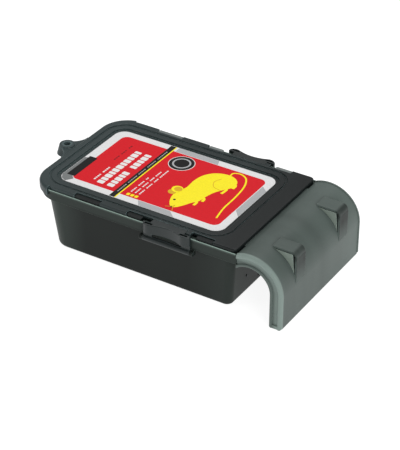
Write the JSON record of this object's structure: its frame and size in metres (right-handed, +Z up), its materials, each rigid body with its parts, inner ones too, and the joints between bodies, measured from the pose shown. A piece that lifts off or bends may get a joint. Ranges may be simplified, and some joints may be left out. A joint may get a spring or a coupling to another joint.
{
  "type": "multi-catch mouse trap",
  "caption": "Low drafted plastic tub with a clipped lift-off lid, a hanging ear, an arched entrance tunnel across one end and a see-saw ramp behind an arched doorway.",
  "frame": {"origin": "middle of the bounding box's footprint, on the floor the trap stands on", "axes": "+X from the closed end to the entrance tunnel, +Y to the far long side, +Z up"},
  "size_m": [0.2994, 0.162, 0.07],
  "materials": {
    "tub_plastic": "dark green-black moulded polypropylene, fine satin texture",
    "hood_plastic": "dark grey-green moulded polypropylene, satin",
    "lid_plastic": "dark green-grey moulded polypropylene, satin",
    "label_sheet": "laminated printed sheet, gloss",
    "clip_plastic": "dark green-grey moulded plastic, satin",
    "insert_plastic": "black moulded plastic, matt",
    "ramp_plastic": "dark moulded plastic, matt with cross treads",
    "pin_steel": "bright drawn steel",
    "weight_steel": "sheared zinc-plated steel plate"
  },
  "bodies": {
    "tub": {"base_tub": "tub_plastic", "tunnel_hood": "hood_plastic", "entrance_frame": "insert_plastic", "entrance_roof": "insert_plastic", "ramp_axle": "pin_steel"},
    "lid": {"lid": "lid_plastic", "lid_label": "label_sheet"},
    "near_clip": {"side_clip_near": "clip_plastic"},
    "far_clip": {"side_clip_far": "clip_plastic"},
    "ramp": {"see_saw_ramp": "ramp_plastic", "ramp_weight": "weight_steel"}
  },
  "joints": [
    {"name": "lid_lift_off", "type": "slide", "parent": "tub", "child": "lid", "axis": [0, 0, 1], "range_m": [0, 0.09]},
    {"name": "near_clip_hinge", "type": "hinge", "parent": "tub", "child": "near_clip", "pos_m": [0.0277, -0.0774, 0.0518], "axis": [1, 0, 0], "range_deg": [0, 110]},
    {"name": "far_clip_hinge", "type": "hinge", "parent": "tub", "child": "far_clip", "pos_m": [0.0277, 0.0774, 0.0518], "axis": [-1, 0, 0], "range_deg": [0, 110]},
    {"name": "ramp_tilt", "type": "hinge", "parent": "tub", "child": "ramp", "pos_m": [0.0441, 0, 0.014], "axis": [0, -1, 0], "range_deg": [0, 28]}
  ]
}
